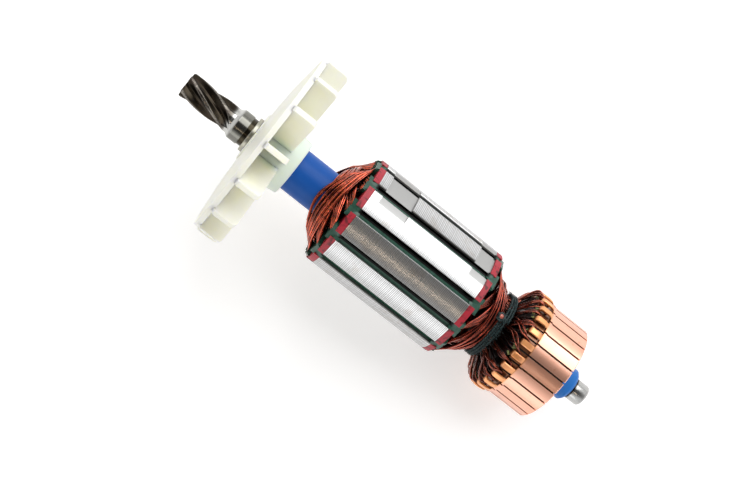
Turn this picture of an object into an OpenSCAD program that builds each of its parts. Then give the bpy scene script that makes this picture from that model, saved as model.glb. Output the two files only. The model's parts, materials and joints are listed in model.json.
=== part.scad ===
// Armature of a universal power-tool motor: a shaft with a helical pinion cut
// on it, a moulded cooling fan, a wound 12-slot laminated core and a
// 24-bar commutator with hooked risers. Millimetres.
// Every piece is modelled along the shaft, with z = 0 at the pinion's tip and
// +x pointing up, and place() then lays the armature down on the two lowest
// fan blades and the outer edge of the commutator.

/* [Shaft] */
// Length of the toothed pinion, up to the end of its run-out
pinion_l = 18.4; // [14:0.1:24]
// Tip radius of the pinion teeth
pinion_tip_r = 4.2; // [3.6:0.1:4.8]
// Depth of the pinion teeth
tooth_depth = 1.6; // [1:0.1:1.8]
// Width of a tooth's tip land
tooth_land = 1.5; // [1:0.1:2]
// Number of pinion teeth
pinion_teeth = 5; // [4:1:7]
// Axial length of one full turn of a tooth
pinion_lead = 58; // [45:1:90]
// Radius of the cutter, which sets how long the teeth run out
cutter_r = 5; // [3:0.5:8]
// Bevel on the pinion's tip
pinion_bevel = 0.4; // [0.1:0.1:0.8]
// Radius of the drive-end bearing seat
journal_r = 5; // [4.9:0.1:6]
// Length of the drive-end bearing seat
journal_l = 3.4; // [2:0.1:12]
// Length of the shoulder cone between pinion and bearing seat
shoulder_l = 1.2; // [0.5:0.1:2]
// Width of the undercut beside the bearing seat
undercut_w = 1.4; // [0.8:0.1:3]
// Depth of the undercuts
undercut_d = 0.3; // [0.1:0.05:0.6]
// Radius of the commutator-end bearing seat
stub_r = 3.5; // [3:0.1:4]
// Length of the commutator-end bearing seat
stub_l = 5.4; // [3:0.1:12]
// Bevel on the commutator-end seat
stub_bevel = 0.7; // [0.2:0.1:1.2]
// Radius of the shaft under the commutator
tail_r = 4.1; // [3.9:0.1:4.4]

/* [Spacer ring] */
// Outer radius of the steel spacer ring
ring_r = 5.85; // [5.5:0.05:7.5]
// Thickness of the spacer ring
ring_t = 1.2; // [0.8:0.1:3]

/* [Fan] */
// Number of blades
blade_count = 15; // [9:2:19]
// Radius at the blade tips
blade_tip_r = 32; // [28:0.5:36]
// Blade thickness
blade_t = 1.8; // [1.2:0.1:2.4]
// Height of the blades above the disc
blade_h = 7.6; // [5:0.1:10]
// Radius of the blades' outer corners
blade_corner_r = 1.6; // [0.5:0.1:3]
// How far the disc stops short of the blade tips
disc_inset = 1; // [1:0.1:2]
// Thickness of the disc at its rim
disc_t = 1.7; // [1.2:0.1:3]
// How far the disc's outer face domes out from rim to hub
disc_dome = 2.3; // [0.5:0.1:4]
// Radius of the fan's collar on the pinion side
collar_r = 8.2; // [7.6:0.1:10]
// Radius of the hub where it leaves the blades
hub_root_r = 9.6; // [9:0.1:12]
// Radius of the hub's free end
hub_end_r = 9; // [8.4:0.1:9.5]
// How far the hub stands out beyond the blades
hub_reach = 3.9; // [1:0.1:8]

/* [Insulating sleeve] */
// Radius of the sleeve on the drive side
sleeve_r = 7; // [6.4:0.1:7.4]
// Depth to which the sleeve enters the fan's hub
sleeve_entry = 10; // [4:0.5:12]
// Length of bare sleeve between the fan and the winding
sleeve_gap = 8.6; // [4:0.1:14]
// Radius of the sleeve through the commutator
sleeve_end_r = 5.4; // [5:0.1:5.8]
// Length of the sleeve beyond the commutator
sleeve_out = 7; // [3:0.1:12]
// Bevel on the sleeve's outer end
sleeve_bevel = 1; // [0.2:0.1:1.2]

/* [Core] */
// Outer radius of the core
core_r = 18.5; // [18:0.1:20]
// Length of the laminated stack
core_l = 42; // [30:0.5:60]
// Number of slots
slot_count = 12; // [12:1:12]
// Angle of the first slot from straight up
slot_phase = -5; // [-15:0.5:15]
// Width of a slot's mouth
slot_mouth = 2.4; // [2:0.1:3]
// Width of a tooth's stem
tooth_stem = 3.6; // [3:0.1:3.9]
// Thickness of a tooth's tip at the slot's mouth
tooth_tip_t = 1.1; // [0.8:0.1:1.4]
// Radius at the bottom of the slots
slot_bottom_r = 9.6; // [9.3:0.1:10]
// Thickness of the fibre end plates
fibre_t = 2; // [1:0.1:3]
// How far the fibre plates stay inside the core's surface
fibre_inset = 0.1; // [0:0.05:0.4]
// Depth of the milled balance cuts
balance_d = 0.8; // [0.3:0.1:0.9]
// Half angle that a balance cut spans
balance_span = 29; // [15:1:32]
// Length of the long balance cut
balance_l = 9.6; // [5:0.1:14]
// Length of the short balance cut at the stack's end
balance_end_l = 5.8; // [3:0.1:8]
// Distance of the long balance cut from the stack's drive end
balance_z = 2.8; // [1:0.1:8]

/* [Slot liners] */
// Thickness of the liner paper
liner_t = 0.25; // [0.2:0.01:0.35]
// How far a liner stands out of the fibre plates
liner_out = 1.2; // [0.6:0.1:1.6]
// Width of the seam left open between a liner's flaps
liner_seam = 0.8; // [0.5:0.1:1.2]

/* [Winding] */
// Axial height of the winding head at the drive end
head_h = 9.4; // [8.8:0.1:11]
// Axial height of the winding head at the commutator end
tail_h = 8.4; // [8.3:0.1:10]
// Width of a coil's end turn
coil_w = 2.8; // [2.4:0.1:2.8]
// Thickness of a coil's end turn
coil_t = 1.05; // [0.8:0.05:1.05]
// Slots spanned by each coil
coil_pitch = 5; // [5:1:5]

/* [Leads and tie cord] */
// Length of the bound neck between winding and commutator
neck_l = 3.3; // [2.8:0.1:4]
// Radius of a lead bundle in the neck
lead_r = 1.1; // [0.8:0.05:1.15]
// Radius of a lead where it is hooked
lead_end_r = 0.4; // [0.3:0.02:0.42]
// Radius to which the leads bulge before the hooks
lead_bulge_r = 17.6; // [16.5:0.1:18]
// Distance from the neck to the hooks
flare_l = 4.8; // [4.2:0.1:8]
// Angle by which the leads slant round the shaft
lead_slant = 12; // [0:1:20]
// Diameter of the tie cord
cord_d = 0.9; // [0.6:0.05:1]
// Turns of tie cord laid side by side
cord_turns = 3; // [2:1:3]

/* [Commutator] */
// Radius of the brush track
track_r = 16.4; // [15.6:0.1:16.5]
// Length of the brush track
track_l = 13; // [9:0.1:18]
// Number of bars
bar_count = 24; // [24:1:24]
// Angle of the first slit from straight up
bar_phase = 2; // [-7:0.5:7]
// Width of the slits between the bars, as an angle
slit_a = 2; // [1.4:0.1:3]
// Depth from the track down to the insulation in the slits
slit_d = 0.7; // [0.3:0.1:1.2]
// Height of the unworn shoulder above the track
shoulder_h = 0.35; // [0.1:0.05:0.4]
// Width of the unworn shoulder
shoulder_w = 1; // [0.6:0.1:2]
// Inner radius of the bars' working part
bar_in_r = 12.6; // [12:0.1:13.2]
// Depth of the dovetail foot below the bar
foot_d = 1.6; // [1:0.1:2]
// Length left free of foot at each end of a bar
foot_inset = 4; // [2:0.1:4.5]
// Bevel on the commutator's outer edge
bar_bevel = 0.3; // [0.1:0.1:0.6]
// Length of a hook along the shaft
hook_l = 4; // [3:0.1:5]
// Width of a hook
hook_w = 1.9; // [1.4:0.1:2.2]
// Thickness of a hook
hook_t = 0.8; // [0.6:0.05:1]
// Radius over the hooks
hook_r = 17.5; // [17.3:0.1:18]
// Space under a hook for its leads
hook_gap = 0.9; // [0.86:0.02:1]

/* [Hidden] */
$fn = 64;
eps = 0.01;

// Stations along the shaft, each from the one before
z_journal = pinion_l;
z_undercut = z_journal + journal_l;
z_ring = z_undercut + undercut_w;
z_fan = z_ring + ring_t;
z_disc = z_fan + disc_dome;
z_blade = z_disc + disc_t;
z_blade_end = z_blade + blade_h;
z_hub_end = z_blade_end + hub_reach;
z_sleeve = z_hub_end - sleeve_entry;
z_head = z_hub_end + sleeve_gap;
z_fibre = z_head + head_h + liner_out;
z_core = z_fibre + fibre_t;
z_core_end = z_core + core_l;
z_tail = z_core_end + fibre_t + liner_out;
z_neck = z_tail + tail_h;
z_flare = z_neck + neck_l;
z_bar = z_flare + flare_l;
z_track = z_bar + hook_l + shoulder_w;
z_bar_end = z_track + track_l;
z_sleeve_end = z_bar_end + sleeve_out;
z_end = z_sleeve_end + stub_l;

// The lowest two blade tips and the commutator's outer edge touch the table
blade_reach = blade_tip_r * cos(180 / blade_count) + blade_t / 2 * sin(180 / blade_count);
tilt = atan((blade_reach - track_r) / (z_bar_end - bar_bevel - z_blade_end + blade_corner_r));
rest_drop = blade_reach * cos(tilt) + (z_blade_end - blade_corner_r) * sin(tilt);

// Middle of the whole length on the table, from the pinion's tip to the stub's
low_x = -(pinion_tip_r - pinion_bevel) * sin(tilt);
high_x = z_end * cos(tilt) + (stub_r - stub_bevel) * sin(tilt);
high_side_x = (z_end - stub_bevel) * cos(tilt) + stub_r * sin(tilt);
mid_x = (low_x + max(high_x, high_side_x)) / 2;

slot_pitch = 360 / slot_count;
bar_pitch = 360 / bar_count;
slot_top_r = core_r - tooth_tip_t;
pinion_root_r = pinion_tip_r - tooth_depth;

function two_digits(i) = str(i < 10 ? "0" : "", i);
function polar(r, a) = [r * cos(a), r * sin(a)];
function unit(v) = v / norm(v);
function mix(a, b, f) = a + (b - a) * f;
function smooth(f) = f * f * (3 - 2 * f);
function reversed(v) = [for (i = [len(v) - 1:-1:0]) v[i]];
function arc_points(c, r, a0, a1, n) = [for (i = [0:n]) c + polar(r, a0 + (a1 - a0) * i / n)];

// Lays a piece modelled along the shaft down on the table
module place() {
  translate([-mid_x, 0, rest_drop])
    rotate([0, tilt, 0])
      rotate(a = 180, v = [1, 0, 1])
        children();
}

// A solid through rings of equally many points: capped, or joined end to end.
// A cap is a strip of triangles across its ring, from the first point on.
module skin(rings, looped = false) {
  n = len(rings[0]);
  m = len(rings);
  last = looped ? m - 1 : m - 2;
  sides = [
    for (i = [0:last], j = [0:n - 1])
      let (k = (i + 1) % m, l = (j + 1) % n)
      each [[i * n + j, k * n + j, k * n + l], [i * n + j, k * n + l, i * n + l]]
  ];
  strip = [
    for (j = [0:n / 2 - 2])
      each [[j, j + 1, n - 2 - j], [j, n - 2 - j, n - 1 - j]]
  ];
  end_strip = [for (f = strip) [for (j = [2:-1:0]) (m - 1) * n + f[j]]];
  caps = looped ? [] : concat(strip, end_strip);
  polyhedron(points = [for (r = rings) each r], faces = concat(sides, caps));
}

// Shaft ---------------------------------------------------------------

// Half width of a tooth space at radius r
space_tip = PI * pinion_tip_r / pinion_teeth - tooth_land / 2;
function space_half(r) =
  let (f = (r - pinion_root_r) / tooth_depth)
  0.35 + (space_tip - 0.35) * pow(max(f, 0), 0.8);

// Section of the tooth space, from one flank over the root to the other
space_steps = [1.5, 1, 0.62, 0.3, 0.1];
space_section = concat(
  [for (f = space_steps) [space_half(pinion_root_r + f * tooth_depth), f * tooth_depth]],
  [for (f = reversed(space_steps)) [-space_half(pinion_root_r + f * tooth_depth), f * tooth_depth]]
);

// The cutter leaves the root along its own radius, until it clears the seat
runout_l = sqrt(2 * cutter_r * (journal_r - pinion_root_r + 0.15));
function lift(z) = pow(max(0, z - (pinion_l - runout_l)), 2) / (2 * cutter_r);
space_stations = concat(
  [for (i = [0:9]) mix(-0.5, pinion_l - runout_l, i / 9)],
  [for (i = [1:4]) mix(pinion_l - runout_l, pinion_l, i / 4)]
);

module tooth_space() {
  skin([for (z = space_stations)
    [for (p = space_section)
      let (r = pinion_root_r + p[1] + lift(z), a = z * 360 / pinion_lead)
      [r * cos(a) - p[0] * sin(a), r * sin(a) + p[0] * cos(a), z]]]);
}

module shaft_blank() {
  bevel = pinion_bevel;
  seat = z_sleeve_end;
  core_end_r = z_core_end + fibre_t;
  rotate_extrude()
    polygon([
      [0, 0],
      [pinion_tip_r - bevel, 0],
      [pinion_tip_r, bevel],
      [pinion_tip_r, z_journal - shoulder_l],
      [journal_r, z_journal],
      [journal_r, z_undercut],
      [journal_r - undercut_d, z_undercut],
      [journal_r - undercut_d, z_ring],
      [journal_r, z_ring],
      [journal_r, core_end_r],
      [tail_r, core_end_r],
      [tail_r, seat - undercut_d],
      [stub_r - undercut_d, seat - undercut_d],
      [stub_r - undercut_d, seat + undercut_d],
      [stub_r, seat + undercut_d],
      [stub_r, z_end - stub_bevel],
      [stub_r - stub_bevel, z_end],
      [0, z_end]
    ]);
}

module shaft() {
  color("dimgray")
    place()
      difference() {
        shaft_blank();
        for (i = [0:pinion_teeth - 1])
          rotate([0, 0, i * 360 / pinion_teeth])
            tooth_space();
      }
}

module spacer_ring() {
  color("silver")
    place()
      translate([0, 0, z_ring])
        difference() {
          cylinder(r = ring_r, h = ring_t);
          translate([0, 0, -eps])
            cylinder(r = journal_r, h = ring_t + 2 * eps);
        }
}

// Fan -----------------------------------------------------------------

disc_r = blade_tip_r - disc_inset;

// Hub and domed disc in half section
module fan_section() {
  dome_n = 5;
  dome = [for (i = [0:dome_n])
    let (f = i / dome_n)
    [mix(collar_r, disc_r, f), z_fan + disc_dome * (0.25 + 0.75 * f * f)]];
  polygon(concat(
    [[journal_r, z_fan], [collar_r, z_fan]],
    dome,
    [[disc_r, z_blade], [hub_root_r, z_blade]],
    [[hub_root_r, z_blade_end + 0.4], [hub_end_r, z_hub_end]],
    [[sleeve_r, z_hub_end], [sleeve_r, z_sleeve], [journal_r, z_sleeve]]
  ));
}

// One straight blade, with its outer corner rounded
module blade() {
  c = blade_corner_r;
  outline = concat(
    [[hub_root_r - 1, z_blade - disc_t / 2], [disc_r - 0.5, z_blade - disc_t / 2]],
    [[blade_tip_r, z_blade + 0.3]],
    arc_points([blade_tip_r - c, z_blade_end - c], c, 0, 90, 5),
    [[hub_root_r - 1, z_blade_end]]
  );
  rotate([90, 0, 0])
    translate([0, 0, -blade_t / 2])
      linear_extrude(height = blade_t)
        polygon(outline);
}

module fan() {
  color("ivory")
    place()
      union() {
        rotate_extrude()
          fan_section();
        for (i = [0:blade_count - 1])
          rotate([0, 0, i * 360 / blade_count])
            blade();
      }
}

// Insulating sleeve -----------------------------------------------------

// Shaft step hidden under the core's commutator-end plate
z_step = z_core_end + fibre_t;

module insulating_sleeve() {
  color("royalblue")
    place()
      rotate_extrude()
        polygon([
          [journal_r, z_sleeve],
          [sleeve_r, z_sleeve],
          [sleeve_r, z_neck],
          [sleeve_end_r, z_neck],
          [sleeve_end_r, z_sleeve_end - sleeve_bevel],
          [sleeve_end_r - sleeve_bevel, z_sleeve_end],
          [tail_r, z_sleeve_end],
          [tail_r, z_step],
          [journal_r, z_step]
        ]);
}

// Core, fibre plates and liners ------------------------------------------

// Half width of a slot at radius r, between parallel-sided tooth stems
function slot_half(r) = r * sin(slot_pitch / 2) - tooth_stem / 2 * cos(slot_pitch / 2);

// Outline of a slot's pocket, grown inwards by the clearance c
function slot_outline(c) = [
  [slot_bottom_r + c, -slot_half(slot_bottom_r) + c],
  [slot_top_r - c, -slot_half(slot_top_r) + c],
  [slot_top_r - c, slot_half(slot_top_r) - c],
  [slot_bottom_r + c, slot_half(slot_bottom_r) - c]
];

module each_slot() {
  for (i = [0:slot_count - 1])
    rotate([0, 0, slot_phase + i * slot_pitch])
      children();
}

// A toothed plate of radius r, bored to fit the insulating sleeve
module toothed_plate(r, h) {
  difference() {
    cylinder(r = r, h = h);
    translate([0, 0, -eps])
      cylinder(r = sleeve_r, h = h + 2 * eps);
    each_slot()
      translate([0, 0, -eps])
        linear_extrude(height = h + 2 * eps)
          polygon(slot_outline(0));
    each_slot()
      translate([slot_top_r - eps, -slot_mouth / 2, -eps])
        cube([tooth_tip_t * 2, slot_mouth, h + 2 * eps]);
  }
}

// Material milled off for balance, centred on the tooth beside the top slots
module balance_cut(z, h) {
  apex = core_r - balance_d;
  edge_x = core_r * cos(balance_span);
  edge_y = core_r * sin(balance_span);
  rise = apex - edge_x;
  bow_r = (edge_y * edge_y + rise * rise) / (2 * rise);
  rotate([0, 0, slot_phase - 1.5 * slot_pitch])
    translate([0, 0, z])
      difference() {
        translate([edge_x, -edge_y, 0])
          cube([core_r, 2 * edge_y, h]);
        translate([apex - bow_r, 0, -eps])
          cylinder(r = bow_r, h = h + 2 * eps, $fn = 128);
      }
}

module core_stack() {
  color("lightgray")
    place()
      difference() {
        translate([0, 0, z_core])
          toothed_plate(core_r, core_l);
        balance_cut(z_core + balance_z, balance_l);
        balance_cut(z_core_end - balance_end_l, balance_end_l + 1);
      }
}

module fibre_plate_drive() {
  color("crimson")
    place()
      translate([0, 0, z_fibre])
        toothed_plate(core_r - fibre_inset, fibre_t);
}

module fibre_plate_commutator() {
  color("crimson")
    place()
      translate([0, 0, z_core_end])
        toothed_plate(core_r - fibre_inset, fibre_t);
}

// Folded paper that lines a slot and closes over the coils but for a seam
module slot_liners() {
  color("seagreen")
    place()
      each_slot()
        translate([0, 0, z_fibre - liner_out])
          linear_extrude(height = core_l + 2 * (fibre_t + liner_out))
            difference() {
              polygon(slot_outline(0));
              polygon(slot_outline(liner_t));
              translate([slot_top_r - 2 * liner_t, -slot_mouth / 2])
                square([3 * liner_t, liner_seam]);
            }
}

// Winding -----------------------------------------------------------------
// Twelve coils are wound as six opposite pairs, each pair over the last and
// one slot further round. A coil starts low in its slot and ends high in the
// slot five further on, and its end turns pass beside the insulating sleeve.

pair_count = slot_count / 2;
side_h = (slot_top_r - slot_bottom_r) / 2 - liner_t - 0.05;
low_r = slot_bottom_r + liner_t + side_h / 2 + 0.1;
high_r = slot_top_r - liner_t - side_h / 2;
nose_r = sleeve_r + 0.15 + coil_w / 2;
low_span = 26;
high_span = 60;

// Points round a coil's section
section_n = 8;
function oval(c, u, v, w, h) = [
  for (i = [0:section_n - 1])
    let (a = (i + 0.5) * 360 / section_n)
    c + u * (w / 2 * cos(a) / cos(180 / section_n)) + v * (h / 2 * sin(a) / cos(180 / section_n))
];

// Height of the domed winding head at radius r, from the liners' ends
function head_space(r, height) = height * sqrt(1 - pow((r - nose_r) / (core_r - nose_r), 1.7));

// A leg of an end turn as [radius, angle from its slot, height]; f runs from
// 0 where it leaves its slot to 1 where it passes beside the sleeve
function leg_point(low, level, height, f) =
  let (
    r0 = low ? low_r : high_r,
    span = low ? low_span : high_span,
    top = 0.1 + coil_t / 2 + level * (height - coil_t - 0.15) / (pair_count - 1),
    corner = (level + 0.5) / pair_count * head_space(r0, height)
  )
  f < 0
    ? [r0, 0, f]
    : [mix(r0, nose_r, smooth(f)), span * f, mix(corner, top, low ? smooth(f) : pow(f, 0.6))];

// Width across and thickness of a coil at the same place
function leg_size(low, f) =
  let (g = min(max(f, 0) / 0.5, 1))
  low
    ? [mix(side_h - 0.1, coil_w, g), mix(1.3, coil_t, g)]
    : [mix(side_h - 0.2, coil_w, g), mix(2.4, coil_t, g)];

leg_steps = [-0.4, 0, 0.3, 0.6, 1];

// One end turn: rings from its start slot over the nose to its end slot
function turn_path(level, height) =
  let (
    low_a = level < pair_count - 1,
    low_b = level == 0,
    span = coil_pitch * slot_pitch,
    top = leg_point(low_a, level, height, 1),
    stop = span - leg_point(low_b, level, height, 1)[1],
    nose_n = ceil((stop - top[1]) / 24)
  )
  concat(
    [for (f = leg_steps) concat(leg_point(low_a, level, height, f), leg_size(low_a, f))],
    [for (i = [1:1:nose_n - 1])
      [nose_r, mix(top[1], stop, i / nose_n), top[2], coil_w, coil_t]],
    [for (f = reversed(leg_steps))
      let (p = leg_point(low_b, level, height, f))
      concat([p[0], span - p[1], p[2]], leg_size(low_b, f))]
  );

// Places a path's points: a0 is the start slot, z the liners' end, and way
// is -1 at the drive end and 1 at the commutator end
function turn_place(path, a0, z, way) = [
  for (p = path)
    let (q = polar(p[0], a0 + p[1]))
    [[q[0], q[1], z + way * p[2]], p[3], p[4]]
];

module coil(index) {
  level = index % pair_count;
  a0 = slot_phase + slot_pitch * (level - 1 + pair_count * floor(index / pair_count));
  loop = concat(
    turn_place(turn_path(level, head_h), a0, z_fibre - liner_out, -1),
    reversed(turn_place(turn_path(level, tail_h), a0, z_tail, 1))
  );
  m = len(loop);
  color(index % 2 == 0 ? "saddlebrown" : "sienna")
    place()
      skin([
        for (i = [0:m - 1])
          let (
            p = loop[i][0],
            t = unit(loop[(i + 1) % m][0] - loop[(i + m - 1) % m][0]),
            r = unit([p[0], p[1], 0]),
            u = unit(r - t * (r * t)),
            v = cross(t, u)
          )
          oval(p, u, v, loop[i][1], loop[i][2])
      ], looped = true);
}

// Leads and tie cord -------------------------------------------------------

neck_r = sleeve_end_r + 3.9;
lead_rest_r = track_r - hook_gap / 2 + shoulder_h;

module lead() {
  route = [
    [neck_r, -lead_slant, z_neck + 0.05, lead_r],
    [neck_r, -lead_slant, z_flare, lead_r],
    [mix(neck_r, lead_bulge_r, 0.3), -lead_slant * 0.9, z_flare + 0.2 * flare_l, lead_r * 0.95],
    [mix(neck_r, lead_bulge_r, 0.72), -lead_slant * 0.7, z_flare + 0.4 * flare_l, lead_r * 0.85],
    [lead_bulge_r - lead_r * 0.7, -lead_slant * 0.5, z_flare + 0.76 * flare_l, lead_r * 0.7],
    [hook_r - 0.9, -bar_pitch * 0.42, z_bar + 0.1 * hook_l, lead_end_r * 1.3],
    [hook_r - hook_t - hook_gap / 2, -bar_pitch * 0.3, z_bar + 0.5 * hook_l, lead_end_r],
    [hook_r - hook_t - hook_gap / 2, bar_pitch * 0.12, z_bar + 0.55 * hook_l, lead_end_r]
  ];
  m = len(route);
  points = [for (p = route) let (q = polar(p[0], p[1])) [q[0], q[1], p[2]]];
  skin([
    for (i = [0:m - 1])
      let (
        t = unit(points[min(i + 1, m - 1)] - points[max(i - 1, 0)]),
        r = unit([points[i][0], points[i][1], 0]),
        side = unit(cross(t, r)),
        v = cross(side, t)
      )
      [for (j = [0:5]) points[i] + route[i][3] * (v * cos(j * 60) + side * sin(j * 60))]
  ]);
}

module each_bar() {
  for (i = [0:bar_count - 1])
    rotate([0, 0, bar_phase + (i + 0.5) * bar_pitch])
      children();
}

module commutator_leads() {
  color("firebrick")
    place()
      each_bar()
        lead();
}

// Cord wound side by side round the neck of the leads, with its knot
module tie_cord() {
  cord_r = neck_r + lead_r + cord_d / 2;
  first = z_neck + 0.05;
  color("darkslategray")
    place()
      union() {
        for (i = [0:cord_turns - 1])
          translate([0, 0, first + cord_d * (0.46 + 0.92 * i)])
            rotate_extrude()
              translate([cord_r, 0])
                circle(d = cord_d, $fn = 16);
        rotate([0, 0, -13])
          translate([cord_r + cord_d * 0.4, 0, first - cord_d * 0.1])
            sphere(r = cord_d * 0.8, $fn = 24);
      }
}

// Commutator ----------------------------------------------------------------

bar_a = bar_pitch - slit_a;
recess_r = hook_r - hook_t - hook_gap;

// Bar in half section: hook seat, shoulder, brush track and dovetail foot
module bar_section() {
  foot_r = bar_in_r - foot_d;
  z0 = z_bar + foot_inset;
  z1 = z_bar_end - foot_inset;
  polygon([
    [bar_in_r, z_bar],
    [recess_r, z_bar],
    [recess_r, z_bar + hook_l],
    [track_r + shoulder_h, z_bar + hook_l],
    [track_r + shoulder_h, z_track],
    [track_r, z_track],
    [track_r, z_bar_end - bar_bevel],
    [track_r - bar_bevel, z_bar_end],
    [bar_in_r, z_bar_end],
    [bar_in_r, z1],
    [foot_r, z1 + foot_d],
    [foot_r, z0 - foot_d],
    [bar_in_r, z0]
  ]);
}

// Hook: a tang that rises from the bar's end and folds back over the leads
module hook() {
  out = hook_t;
  bend = out + 0.3;
  c = [hook_r - bend, z_bar - 0.6 + bend];
  profile = concat(
    [[recess_r - 1.2, z_bar + eps], [recess_r - 1.2, z_bar - 0.6]],
    [for (p = arc_points(c, bend, -90, 0, 4)) p],
    [[hook_r, z_bar + hook_l - 0.6], [hook_r - 0.3, z_bar + hook_l - 0.15]],
    [[hook_r - out, z_bar + hook_l - 0.15]],
    [for (p = arc_points(c, bend - out, 0, -90, 3)) p],
    [[recess_r, z_bar - 0.6 + out]],
    [[recess_r, z_bar + eps]]
  );
  rotate([90, 0, 0])
    translate([0, 0, -hook_w / 2])
      linear_extrude(height = hook_w)
        polygon(profile);
}

module bar(index) {
  color("darksalmon")
    place()
      rotate([0, 0, bar_phase + (index + 0.5) * bar_pitch])
        union() {
          rotate([0, 0, -bar_a / 2])
            rotate_extrude(angle = bar_a)
              bar_section();
          hook();
        }
}

// Moulded hub: fills the space inside the bars and the slits between them
module commutator_hub() {
  foot_r = bar_in_r - foot_d;
  z0 = z_bar + foot_inset;
  z1 = z_bar_end - foot_inset;
  color("peru")
    place()
      union() {
        rotate_extrude()
          polygon([
            [sleeve_end_r, z_bar + 0.3],
            [bar_in_r, z_bar + 0.3],
            [bar_in_r, z0],
            [foot_r, z0 - foot_d],
            [foot_r, z1 + foot_d],
            [bar_in_r, z1],
            [bar_in_r, z_bar_end - 0.3],
            [sleeve_end_r, z_bar_end - 0.3]
          ]);
        for (i = [0:bar_count - 1])
          rotate([0, 0, bar_phase + i * bar_pitch - slit_a / 2])
            rotate_extrude(angle = slit_a)
              translate([foot_r - 0.2, z_bar + 0.3])
                square([recess_r - slit_d - foot_r + 0.2, z_bar_end - z_bar - 0.6]);
      }
}

shaft();
spacer_ring();
fan();
insulating_sleeve();
core_stack();
fibre_plate_drive();
fibre_plate_commutator();
slot_liners();
for (i = [0:slot_count - 1]) coil(i);
commutator_leads();
tie_cord();
commutator_hub();
for (i = [0:bar_count - 1]) bar(i);
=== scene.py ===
# %% [markdown]
# # The armature of a small universal motor
# This lesson dresses a finished CAD model for a lifelike picture. The
# CAD gives the true sizes and places, and Blender adds what CAD leaves plain:
# every strand of wire, soft edges, stacked sheet, worn copper and the light.
#
# The script imports the packed model and keeps it fixed. We note its box at
# once, because nothing that we add may make the object bigger.

import json
import math
import random
import bmesh
import bpy
from mathutils import Matrix, Vector


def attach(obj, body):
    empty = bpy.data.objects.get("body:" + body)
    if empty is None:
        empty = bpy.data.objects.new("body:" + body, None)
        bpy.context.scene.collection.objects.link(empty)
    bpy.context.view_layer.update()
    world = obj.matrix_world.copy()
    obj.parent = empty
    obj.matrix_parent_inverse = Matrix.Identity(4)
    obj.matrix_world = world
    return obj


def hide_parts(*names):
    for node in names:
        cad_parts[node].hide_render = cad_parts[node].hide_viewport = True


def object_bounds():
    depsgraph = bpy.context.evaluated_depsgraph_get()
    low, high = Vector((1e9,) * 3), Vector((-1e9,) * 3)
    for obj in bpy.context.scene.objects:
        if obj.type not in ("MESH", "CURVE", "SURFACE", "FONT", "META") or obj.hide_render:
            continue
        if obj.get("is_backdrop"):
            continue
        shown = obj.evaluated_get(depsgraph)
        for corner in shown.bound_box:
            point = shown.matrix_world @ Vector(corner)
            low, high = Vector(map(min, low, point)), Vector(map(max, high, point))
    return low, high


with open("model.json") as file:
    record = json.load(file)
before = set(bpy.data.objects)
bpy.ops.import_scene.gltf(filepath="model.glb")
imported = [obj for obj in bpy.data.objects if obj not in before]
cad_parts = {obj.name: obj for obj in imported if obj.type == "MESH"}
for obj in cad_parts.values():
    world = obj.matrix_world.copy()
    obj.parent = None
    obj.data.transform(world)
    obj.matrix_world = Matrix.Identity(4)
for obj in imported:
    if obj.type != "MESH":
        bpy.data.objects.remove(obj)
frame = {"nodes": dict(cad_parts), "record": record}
cad_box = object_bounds()
print("CAD box, mm:", [[round(1000 * v, 1) for v in corner] for corner in cad_box])

# %% [markdown]
# ## A frame of reference along the shaft
# Nearly everything here is round, so it is easiest to describe by distance
# along the shaft, distance out from it and angle round it. The armature lies
# tilted on its fan and commutator. Its two bearing seats are recorded with the
# CAD, and they give the direction of the shaft. One matrix then carries points
# from shaft millimetres (up, sideways, along) to the scene's metres.

# %% Find the shaft
MM = 0.001
DRIVE_SEAT_MIDDLE = 20.1
seats = {m["name"]: m for m in frame["record"]["mounts"]}
drive_seat = seats["drive_journal"]
along_axis = -Vector(drive_seat["axis"]).normalized()
side_axis = Vector((0, -1, 0))
up_axis = side_axis.cross(along_axis)
pinion_tip = Vector(drive_seat["pos_m"]) - along_axis * DRIVE_SEAT_MIDDLE * MM
turned = Matrix((up_axis, side_axis, along_axis)).transposed().to_4x4()
shaft_frame = Matrix.Translation(pinion_tip) @ turned @ Matrix.Scale(MM, 4)
print("Shaft tilts down by", round(math.degrees(math.asin(-along_axis.z)), 2), "degrees")

# %% [markdown]
# ## The camera
# The camera stands straight above with a moderately long lens, and is turned so
# that the shaft runs diagonally down the frame. A camera in Blender looks along
# its own -Z, so turning it about Z alone keeps it looking straight down.

# %% Place the camera
IMAGE_TURN = math.radians(38.2)
LENS = 62.06
SENSOR = 36
CAMERA_HEIGHT = 388 * MM
AIM_ALONG = 73.3
AIM_RIGHT = 1.94 * MM
AIM_UP = 3.62 * MM
aim = shaft_frame @ Vector((0, 0, AIM_ALONG))
image_right = Vector((math.cos(IMAGE_TURN), math.sin(IMAGE_TURN), 0))
image_up = Vector((-math.sin(IMAGE_TURN), math.cos(IMAGE_TURN), 0))

camera_data = bpy.data.cameras.new("camera")
camera_data.lens = LENS
camera_data.sensor_width = SENSOR
camera_data.clip_start = 0.01
camera = bpy.data.objects.new("camera", camera_data)
camera.location = aim - image_right * AIM_RIGHT - image_up * AIM_UP + Vector((0, 0, CAMERA_HEIGHT))
camera.rotation_euler = (0, 0, IMAGE_TURN)
bpy.context.collection.objects.link(camera)
bpy.context.scene.camera = camera
print("Camera at", [round(v, 4) for v in camera.location])

# %% [markdown]
# ## Light for bright metal
# Metal shows its surroundings. A tooth of the core looks white where it mirrors
# the large soft light on one side and dark where it mirrors the dim space
# above, so the surroundings matter more than the strength of any lamp. A big
# soft lamp stands on one side and a weaker one low on the other, a thin strip
# makes the narrow streaks, and the sky is dim overhead and white at the horizon.
# The lamps stand a little toward the commutator, so that the copper mirrors them.

# %% Place the lamps
LAMP_DISTANCE = 0.8
LAMP_SHIFT = Vector((0.12, 0, 0))


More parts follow.
